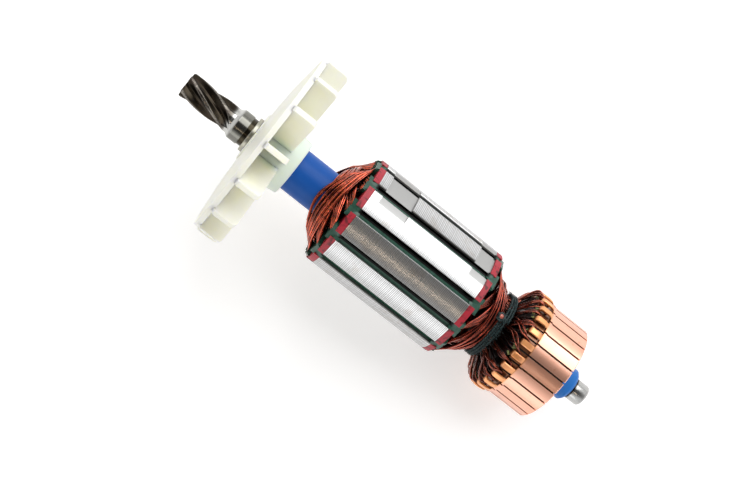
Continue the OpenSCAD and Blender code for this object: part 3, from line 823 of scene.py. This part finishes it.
# %% Mould the fan
FAN_BLADES = 15
BLADE_Z = 28.4
BLADE_END = 36.0
HUB_END = 39.9
HUB_R = 9.6
DISC_R = 31.0
BLADE_R = 32.0
SLEEVE_R = 7.0
SLEEVE_Z = 29.9
FACE_R = 8.2
DOME = 2.3
BLADE_T = 1.8
FIT = 0.02
fan = Shape()
dome = [(mix(FACE_R, DISC_R, i / 12), FAN_Z + DOME * (0.25 + 0.75 * (i / 12) ** 2)) for i in range(13)]
fan.turn([(JOURNAL_R + FIT, FAN_Z), (FACE_R - 0.3, FAN_Z), (FACE_R, FAN_Z + 0.3)] + dome + [
    (DISC_R, BLADE_Z), (HUB_R + 0.5, BLADE_Z), (HUB_R, BLADE_Z + 0.5), (HUB_R, BLADE_END + 0.4),
    (9.05, HUB_END - 0.3), (8.8, HUB_END), (SLEEVE_R + FIT, HUB_END),
    (SLEEVE_R + FIT, SLEEVE_Z), (JOURNAL_R + FIT, SLEEVE_Z)])
CORNER = 1.6
BLADE_FOOT = BLADE_Z - 0.85
blade_outline = [(HUB_R - 1, BLADE_FOOT), (DISC_R - 0.5, BLADE_FOOT), (BLADE_R, BLADE_Z + 0.3)]
blade_outline += arc((BLADE_R - CORNER, BLADE_END - CORNER), CORNER, 0, 90, 7)
blade_outline += [(HUB_R - 1, BLADE_END)]
for i in range(FAN_BLADES):
    fan.plate(blade_outline, BLADE_T, i * 360 / FAN_BLADES)
make_piece("nylon_fan", fan, nylon, ["fan"], soften=0.3)
print("Blades:", FAN_BLADES)

# %% [markdown]
# ## The blue sleeve
# A plastic sleeve keeps the winding, the core and the commutator off the steel.
# It shows between fan and winding, and again as a bevelled collar at the end.

# %% Turn the sleeve
NECK = 114.7
COLLAR_R = 5.4
sleeve = Shape()
sleeve.turn([(JOURNAL_R + FIT, SLEEVE_Z), (SLEEVE_R, SLEEVE_Z), (SLEEVE_R, NECK), (COLLAR_R, NECK),
             (COLLAR_R, SLEEVE_END - 1.1), (COLLAR_R - 0.12, SLEEVE_END - 0.85),
             (COLLAR_R - 0.9, SLEEVE_END - 0.08), (COLLAR_R - 1.05, SLEEVE_END),
             (TAIL_R + FIT, SLEEVE_END), (TAIL_R + FIT, CORE_END), (JOURNAL_R + FIT, CORE_END)])
make_piece("plastic_sleeve", sleeve, blue, ["insulating_sleeve"])
print("Sleeve from", SLEEVE_Z, "to", SLEEVE_END)

# %% [markdown]
# ## The laminated core
# The core is a stack of thin steel sheets with twelve slots. Each sheet is a
# ring of points round the toothed outline, with a shallow groove before the
# next sheet. Where the rotor was balanced, a milling cutter has taken a flat
# off the teeth, so points that stand outside that flat are pulled in to it.

# %% Stack the sheets
SLOTS = 12
SLOT_PHASE = -5.0
CORE_R = 18.5
CORE_Z = 61.1
SLOT_TOP = 17.4
SLOT_BOTTOM = 9.6
MOUTH = 1.2
TOOTH_STEM = 3.6
GROOVE = 0.06
SHEETS = 84
CUT_DEPTH = 0.8
CUT_HALF = 29.0
LONG_CUT = (CORE_Z + 2.8, CORE_Z + 12.4)
END_CUT = CORE_END - 5.8


def slot_half(r):
    half = math.radians(180 / SLOTS)
    return r * math.sin(half) - TOOTH_STEM / 2 * math.cos(half)


def toothed_outline(radius):
    points = []
    edge = math.degrees(math.asin((MOUTH + 0.25) / radius))
    for slot in range(SLOTS):
        a = math.radians(SLOT_PHASE + slot * 360 / SLOTS)
        half = [(radius - 0.25, MOUTH), (SLOT_TOP, MOUTH), (SLOT_TOP, slot_half(SLOT_TOP)),
                (SLOT_BOTTOM, slot_half(SLOT_BOTTOM))]
        pocket = [(x, -y) for x, y in half] + half[::-1]
        points += [(x * math.cos(a) - y * math.sin(a), x * math.sin(a) + y * math.cos(a))
                   for x, y in pocket]
        start = math.degrees(a) + edge
        sweep = 360 / SLOTS - 2 * edge
        points += [polar(radius, start + sweep * i / 12, 0)[:2] for i in range(13)]
    return points


def milled(point, z):
    """The point, pulled in to the balance cut if it stands outside it."""
    if not (LONG_CUT[0] < z < LONG_CUT[1] or z > END_CUT):
        return point
    a = math.radians(SLOT_PHASE - 1.5 * 360 / SLOTS)
    x = point[0] * math.cos(a) + point[1] * math.sin(a)
    y = -point[0] * math.sin(a) + point[1] * math.cos(a)
    apex = CORE_R - CUT_DEPTH
    edge_x = CORE_R * math.cos(math.radians(CUT_HALF))
    edge_y = CORE_R * math.sin(math.radians(CUT_HALF))
    if x < edge_x or abs(y) > edge_y:
        return point
    rise = apex - edge_x
    bow = (edge_y ** 2 + rise ** 2) / (2 * rise)
    x = min(x, apex - bow + math.sqrt(bow ** 2 - y ** 2))
    return (x * math.cos(a) - y * math.sin(a), x * math.sin(a) + y * math.cos(a))


core = Shape()
sheet_l = (CORE_END - CORE_Z) / SHEETS
full = toothed_outline(CORE_R)
low = toothed_outline(CORE_R - GROOVE)
core_stations = []
for i in range(SHEETS):
    start = CORE_Z + i * sheet_l
    core_stations += [(start, low if i else full), (start + 0.07, full),
                      (start + sheet_l - 0.07, full)]
core_stations.append((CORE_END, full))
for cut in (*LONG_CUT, END_CUT):
    core_stations += [(cut - 0.005, full), (cut + 0.005, full)]
core_stations.sort(key=lambda s: s[0])
core.rings([[(*milled(p, z), z) for p in outline] for z, outline in core_stations])
make_piece("sheet_stack", core, sheets, ["core_stack"], crease=30)
print("Sheets:", SHEETS, "of", round(sheet_l, 2), "mm")

# %% [markdown]
# ## Fibre plates, slot paper and the commutator's moulding
# These keep the CAD's own meshes, which are flat and exact. A CAD mesh may get a
# new material, but it is never moved or reshaped. Where the paper leaves a slot
# it is folded open over the end plate, so a small flared cuff is added at each
# end of each slot.

# %% Finish the CAD pieces that stay
KEPT = {"fibre_plate_drive": red, "fibre_plate_commutator": red, "slot_liners": green,
        "commutator_hub": phenolic}
for name, finish in KEPT.items():
    mesh = frame["nodes"][name].data
    mesh.materials.clear()
    mesh.materials.append(finish.material)
print("CAD pieces kept:", ", ".join(KEPT))

# %% Fold the paper cuffs
PAPER = 0.22
CUFF_R = 18.25
CUFF_HALF = 2.5
CUFF_L = 3.0


def smooth(f):
    return f * f * (3 - 2 * f)


cuffs = Shape()
dice = random.Random(7)
for slot in range(SLOTS):
    middle = SLOT_PHASE + slot * 360 / SLOTS
    for start, way in ((CORE_Z, -1), (CORE_END, 1)):
        rows = []
        reach = CUFF_L + dice.uniform(-0.2, 0.25)
        for i in range(7):
            f = i / 6
            half = mix(MOUTH * 0.85, CUFF_HALF + dice.uniform(-0.15, 0.15), smooth(f))
            rise = CUFF_R - 0.75 * f * f
            z = start + way * mix(-0.6, reach, f)
            skew = 0.12 * math.sin(slot * 2.1 + 3 * f)
            line = [(rise - 0.5 * (1 - f) * (1 - abs(t)) + 0.12 * abs(t), t * half + skew)
                    for t in (-1, -0.5, 0, 0.5, 1)]
            rim = line + [(r - PAPER, y) for r, y in reversed(line)]
            rows.append([polar(r, middle + math.degrees(y / r), z) for r, y in rim])
        cuffs.rings(rows)
make_piece("paper_cuffs", cuffs, green)
print("Cuffs:", SLOTS * 2)

# %% [markdown]
# ## The winding
# Each of the twelve coils goes down one slot and back up another five slots
# on, many turns of wire deep. At both ends the strands cross over the winding
# below and bend round the sleeve, and together they make a cone, steeper at the
# commutator, where it is drawn up to the cord. Every strand is a closed loop with
# its own place in the slot and over the cone, and it wanders a little, because it
# was laid by a machine at speed. `HEADS` says for each end where the winding
# leaves the papers, which way, how high its cone is and over what run of radius.

# %% Wind the coils
LEVELS = 6
PITCH = 5 * 360 / SLOTS
WIRE_R = 0.28
HEADS = ((57.9, -1, 9.3, 10.3), (106.3, 1, 8.3, 6.3))
CONE_R = 17.3
LOW_LEG = (10.4, 12.9)
HIGH_LEG = (13.9, 16.8)
LEAST_NOSE_R = 7.45


def cone(r, height, run):
    """How far the winding stands beyond the slot papers at one radius."""
    return height * min(1, (CONE_R - r) / run)


def end_turn(r_start, r_end, nose_r, layer, sink, height, run, skew, steps=18):
    """Points (radius, degrees, height) of one strand over one end."""
    line = []
    for i in range(steps + 1):
        f = i / steps
        to_nose = abs(2 * f - 1)
        r_slot = r_start if f < 0.5 else r_end
        r = mix(nose_r, r_slot, to_nose ** 2.1)
        angle = PITCH * f + skew * math.sin(math.pi * f)
        rise = layer * cone(r, height, run) - WIRE_R - sink
        line.append((r, angle, max(0.05, rise) * smooth(min(1, (1 - to_nose) / 0.16))))
    return line


def strand(level, a0, dice, share, sink):
    low, high = mix(*LOW_LEG, share), mix(*HIGH_LEG, share)
    r_start = (low if level < LEVELS - 1 else high) + dice.uniform(-0.2, 0.2)
    r_end = (low if level == 0 else high) + dice.uniform(-0.2, 0.2)
    side = mix(-0.95, 0.95, share) + dice.uniform(-0.2, 0.2)
    loop = []
    for z0, way, height, run in HEADS:
        spread = 1.6 + 0.85 * level
        nose_r = SLEEVE_R + WIRE_R + 0.1 + spread * share + dice.uniform(-0.1, 0.25)
        layer = min(1.0, (level + 1 + dice.uniform(-0.45, 0.15)) / LEVELS)
        bend = dice.uniform(-7, 7)
        wave = dice.uniform(0, 6.28)
        points = []
        nose_r = max(nose_r, LEAST_NOSE_R)
        turn = end_turn(r_start, r_end, nose_r, layer, sink, height, run, bend)
        for i, (r, angle, rise) in enumerate(turn):
            f = i / (len(turn) - 1)
            room = max(0.1, slot_half(r) - 0.62)
            tilt = math.degrees(side * room * (1 - 2 * f) * abs(1 - 2 * f) / r)
            wander = 0.14 * math.sin(9 * f + wave) * math.sin(math.pi * f)
            points.append(polar(r + wander, a0 + angle + tilt, z0 + way * rise))
        loop += points if way < 0 else points[::-1]
    return loop


for index in range(SLOTS):
    level = index % LEVELS
    dice = random.Random(100 + index)
    start = SLOT_PHASE + 360 / SLOTS * (level - 1 + LEVELS * (index // LEVELS))
    count = 7 + level // 2 + level // 5
    coil = Shape()
    for n in range(count):
        coil.tube(strand(level, start, dice, n / (count - 1), 0), WIRE_R, 6, closed=True)
    for n in range(count - 1):
        share = (n + 0.5) / (count - 1)
        coil.tube(strand(level, start, dice, share, 0.45), WIRE_R, 6, closed=True)
    name = "coil_%02d" % (index + 1)
    make_piece("wire_" + name, coil, coil_wire, [name], crease=75)
print("Coils:", SLOTS)

# %% [markdown]
# ## Leads to the commutator
# At the commutator's end each coil's wires come out of the winding, run under
# the cord round the shaft, and flare out to the hooks. Each bar gets a few
# strands that leave the neck at slightly different angles, so some of them
# cross, as the real ones do.

# %% Fill the neck with strands
BARS = 24
BAR_PHASE = 2.0
BAR_Z = 122.8
HOOK_R = 17.5
NECK_R = 9.3
FLARE = 118.0
NECK_STRANDS = 112
under = Shape()
dice = random.Random(31)
for n in range(NECK_STRANDS):
    a = n * 360 / NECK_STRANDS + dice.uniform(-2, 2)
    swing = dice.uniform(-16, 16)
    lift = dice.uniform(0, 0.9)
    route = [
        (7.4 + 0.4 * lift, a, NECK - 2.4), (7.4 + lift, a + 0.3 * swing, NECK + 0.8),
        (7.5 + lift, a + 0.5 * swing, FLARE - 0.6), (9.6 + lift, a + 0.8 * swing, FLARE + 1.2),
        (12.6 + lift, a + swing, FLARE + 2.9), (14.4 + 0.5 * lift, a + swing, BAR_Z - 0.5)]
    under.tube([polar(*p) for p in flowing(route, 4)], 0.26, 5)
make_piece("neck_strands", under, shaded_neck_wire, crease=75)
print("Strands at the neck:", NECK_STRANDS)

# %% Draw the leads to the hooks
STRANDS_PER_BAR = 4
leads = Shape()
for bar in range(BARS):
    middle = BAR_PHASE + (bar + 0.5) * 360 / BARS
    crossing = dice.choice((-1, 1, 1)) * dice.uniform(0, 22)
    for n in range(STRANDS_PER_BAR):
        at_neck = middle - 12 + crossing + dice.uniform(-5, 5)
        inner = NECK_R + dice.uniform(-1.3, 0.9)
        bulge = dice.uniform(-1.6, 0.15)
        drift = dice.uniform(-4.5, 4.5)
        route = [
            (inner - 1.2, at_neck - 8, NECK - 0.9),
            (inner, at_neck - 4, NECK + 0.2),
            (inner, at_neck, FLARE - 0.4),
            (mix(inner, 16.9 + bulge, 0.42), mix(at_neck, middle - 9, 0.3), FLARE + 1.0),
            (mix(inner, 16.9 + bulge, 0.85), mix(at_neck, middle - 7, 0.65) + drift, FLARE + 2.4),
            (17.2 + bulge, mix(at_neck, middle - 6, 0.85) + drift * 0.6, FLARE + 3.7),
            (16.75 + 0.5 * min(bulge, 0), middle - 5.8, BAR_Z + 0.6),
            (16.25, middle - 3.6, BAR_Z + 1.9),
            (16.2, middle + 1.5, BAR_Z + 2.1)]
        line = [polar(*p) for p in flowing(route, 4)]
        leads.tube(line, 0.24 if n else 0.3, 5)
make_piece("lead_strands", leads, lead_wire, ["commutator_leads"], crease=75)
print("Lead strands:", BARS * STRANDS_PER_BAR)

# %% Run varnish into the neck, dark enough to paint the shade there
neck_varnish_and_shade = Finish("neck_varnish_and_shade", (0.012, 0.006, 0.005), 0.4, coat=0.6, coat_roughness=0.08)
runs = neck_varnish_and_shade.cloud(0.9, 3.0)
neck_varnish_and_shade.blend(neck_varnish_and_shade.ramp(runs, 0.45, 0.7), (0.05, 0.014, 0.008))
neck_varnish_and_shade.bump(runs, 0.4, 0.8)
# varnish and painted shade: a near-black fillet fills the neck under the strands, so no blue shows
# there
fillet = Shape()
fillet.turn([
    (COLLAR_R + FIT, NECK + 0.01), (6.9, NECK + 0.01), (6.8, FLARE - 1), (7.0, FLARE + 0.6),
    (8.0, FLARE + 2.2), (9.6, BAR_Z - 1.4), (9.9, BAR_Z - 1.0), (COLLAR_R + FIT, BAR_Z - 1.0)])
make_piece("varnish_and_shade_fillet", fillet, neck_varnish_and_shade, crease=50)
print("Varnish from", NECK, "to", BAR_Z - 1.0)

# %% Lay the ends of sleeving
SLEEVING_ENDS = 46
sleeving = Finish("glass_sleeving", (0.34, 0.36, 0.12), 0.5, coat=0.4)
weave = sleeving.cloud(3.0)
sleeving.blend(sleeving.ramp(weave, 0.4, 0.6), (0.10, 0.12, 0.04))
ends = Shape()
for _ in range(SLEEVING_ENDS):
    a = dice.uniform(0, 360)
    r = dice.uniform(14.4, 16.0)
    z = dice.uniform(FLARE + 2.9, BAR_Z - 0.9)
    tip = (r + dice.uniform(0, 0.6), a + dice.uniform(-3, 3), z + dice.uniform(0.6, 1.1))
    ends.tube([polar(r, a, z), polar(*tip)], dice.uniform(0.18, 0.34), 6)
make_piece("sleeving_ends", ends, sleeving, crease=50)
print("Ends of sleeving:", SLEEVING_ENDS)

# %% [markdown]
# ## The tie cord
# A cord is wound round the neck to hold the leads, and knotted on top. It is two
# plies twisted together, so each ply is a thin helix that runs round the path of
# the cord, and a few hundred short hairs make it fuzzy. The knot is a loop with
# a drop of varnish in it and two loose ends.

# %% Wind and knot the cord
CORD_TURNS = 3
CORD_R = 10.78
CORD_PLY = 0.27
TWIST = 1.7
HAIRS = 800
KNOT = (11.75, -17.5, 114.3)
LOOSE_ENDS = (((0.2, 1.5, 0.6), (0.5, 5, 1.6), (0.2, 9, 2.3)),
              ((0.1, -2, 0.8), (0.6, 1.0, 2.0), (0.3, 2, 3.1)))
cord = Shape()
turn_steps = 110
for ply in range(2):
    line = []
    for i in range(CORD_TURNS * turn_steps + 1):
        f = i / turn_steps
        spin = 2 * math.pi * f * 2 * math.pi * CORD_R / TWIST + math.pi * ply
        sway = 0.10 * math.sin(7.3 * f) + 0.06 * math.sin(17.1 * f)
        r = CORD_R + 0.22 * math.cos(spin) + sway
        z = NECK + 0.2 + 0.86 * f + 0.22 * math.sin(spin)
        line.append(polar(r, KNOT[1] + 360 * f, z))
    cord.tube(line, CORD_PLY, 6)
for radius, lift, lean in ((1.2, 0.0, 0.25), (0.85, 0.3, -0.3)):
    ring = []
    for i in range(28):
        a = 2 * math.pi * i / 28
        ring.append((KNOT[0] + lift + lean * math.sin(a),
                     KNOT[1] + math.degrees(radius * math.cos(a) / KNOT[0]),
                     KNOT[2] + radius * math.sin(a)))
    cord.tube([polar(*p) for p in ring], 0.27, 8, closed=True)
for end in LOOSE_ENDS:
    steps = [KNOT] + [(KNOT[0] + r, KNOT[1] + a, KNOT[2] + z) for r, a, z in end]
    line = [polar(*p) for p in flowing(steps, 5)]
    cord.tube(line, [mix(0.3, 0.12, i / (len(line) - 1)) for i in range(len(line))], 6)
dice = random.Random(5)
for _ in range(HAIRS):
    a = dice.uniform(0, 360)
    z = dice.uniform(NECK, NECK + 3.0)
    r = CORD_R + dice.uniform(0.2, 0.4)
    length = dice.uniform(0.25, 0.95)
    lean = dice.uniform(-4, 4)
    hair = [(r, a, z), (r + length * 0.35, a + lean * 0.5, z + dice.uniform(-0.3, 0.3)),
            (r + length * 0.5, a + lean, z + dice.uniform(-0.6, 0.6))]
    cord.tube([polar(*p) for p in hair], 0.035, 3)
make_piece("neck_cord", cord, cord_dark, ["tie_cord"], crease=60)
print("Cord turns:", CORD_TURNS)

# %% Set the drop of varnish in the knot
DROP_R = 0.8
varnish = Finish("varnish", (0.60, 0.14, 0.09), 0.08, coat=1.0, coat_roughness=0.03)
resin = varnish.cloud(1.2)
varnish.blend(varnish.ramp(resin, 0.4, 0.7), (0.10, 0.015, 0.01))
drop = Shape()
drop_rings = []
for i in range(11):
    f = math.pi * (i + 0.02) / 10.04
    drop_rings.append([
        (KNOT[0] + 0.3 + 0.6 * math.cos(f),
         KNOT[1] + math.degrees(DROP_R * math.sin(f) * math.cos(b) / KNOT[0]),
         KNOT[2] + DROP_R * math.sin(f) * math.sin(b))
        for b in (2 * math.pi * k / 20 for k in range(20))])
drop.rings([[polar(*p) for p in ring] for ring in drop_rings])
make_piece("varnish_drop", drop, varnish, crease=75)
print("Drop of varnish:", 2 * DROP_R, "mm")

# %% [markdown]
# ## The commutator
# Twenty-four copper bars stand round the moulded hub with thin slits between
# them. Each bar is part of a turned ring: a seat for the hook, an unworn
# shoulder, the brush track and a foot that dovetails into the moulding. Its
# hook rises at the winding's side and folds back over the leads.

# %% Make the bars
BAR_GAP = 2.0
BAR_IN = 12.6
TRACK_R = 16.4
TRACK_Z = 127.8
BAR_END = 140.8
HOOK_L = 4.0
HOOK_T = 0.8
HOOK_W = 1.9
RECESS_R = HOOK_R - HOOK_T - 0.9
FOOT = 1.6
HOOK_RISE = 0.6
foot_a, foot_b = BAR_Z + 4, BAR_END - 4
bar_profile = [
    (BAR_IN, BAR_Z), (RECESS_R, BAR_Z), (RECESS_R, BAR_Z + HOOK_L), (TRACK_R + 0.35, BAR_Z + HOOK_L),
    (TRACK_R + 0.35, TRACK_Z), (TRACK_R, TRACK_Z), (TRACK_R, BAR_END - 0.3),
    (TRACK_R - 0.3, BAR_END), (BAR_IN, BAR_END), (BAR_IN, foot_b), (BAR_IN - FOOT, foot_b + FOOT),
    (BAR_IN - FOOT, foot_a - FOOT), (BAR_IN, foot_a)]
bend = HOOK_T + 0.3
bend_at = (HOOK_R - bend, BAR_Z - HOOK_RISE + bend)
hook_profile = [(RECESS_R - 1.2, BAR_Z + 0.01), (RECESS_R - 1.2, BAR_Z - HOOK_RISE)]
hook_profile += arc(bend_at, bend, -90, 0, 8)
hook_profile += [(HOOK_R, BAR_Z + 1.7), (HOOK_R - 0.05, BAR_Z + 2.6), (HOOK_R - 0.2, BAR_Z + 3.4),
                 (HOOK_R - 0.45, BAR_Z + HOOK_L - 0.15), (HOOK_R - HOOK_T, BAR_Z + HOOK_L - 0.15)]
hook_profile += arc(bend_at, bend - HOOK_T, 0, -90, 5)
hook_profile += [(RECESS_R, BAR_Z - HOOK_RISE + HOOK_T), (RECESS_R, BAR_Z + 0.01)]
for i in range(BARS):
    middle = BAR_PHASE + (i + 0.5) * 360 / BARS
    width = 360 / BARS - BAR_GAP
    bar = Shape()
    bar.turn(bar_profile, middle - width / 2, width, 8)
    bar.rounded_plate(hook_profile, HOOK_W, middle, 0.2)
    name = "bar_%02d" % (i + 1)
    make_piece("copper_" + name, bar, copper, [name], soften=0.1)
print("Bars:", BARS)

# %% [markdown]
# ## Print the size
# The two boxes are printed side by side, so that any growth shows.

# %% Print the size
dressed_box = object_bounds()
for label, box in (("CAD", cad_box), ("dressed", dressed_box)):
    print(label, [[round(1000 * v, 2) for v in corner] for corner in box])
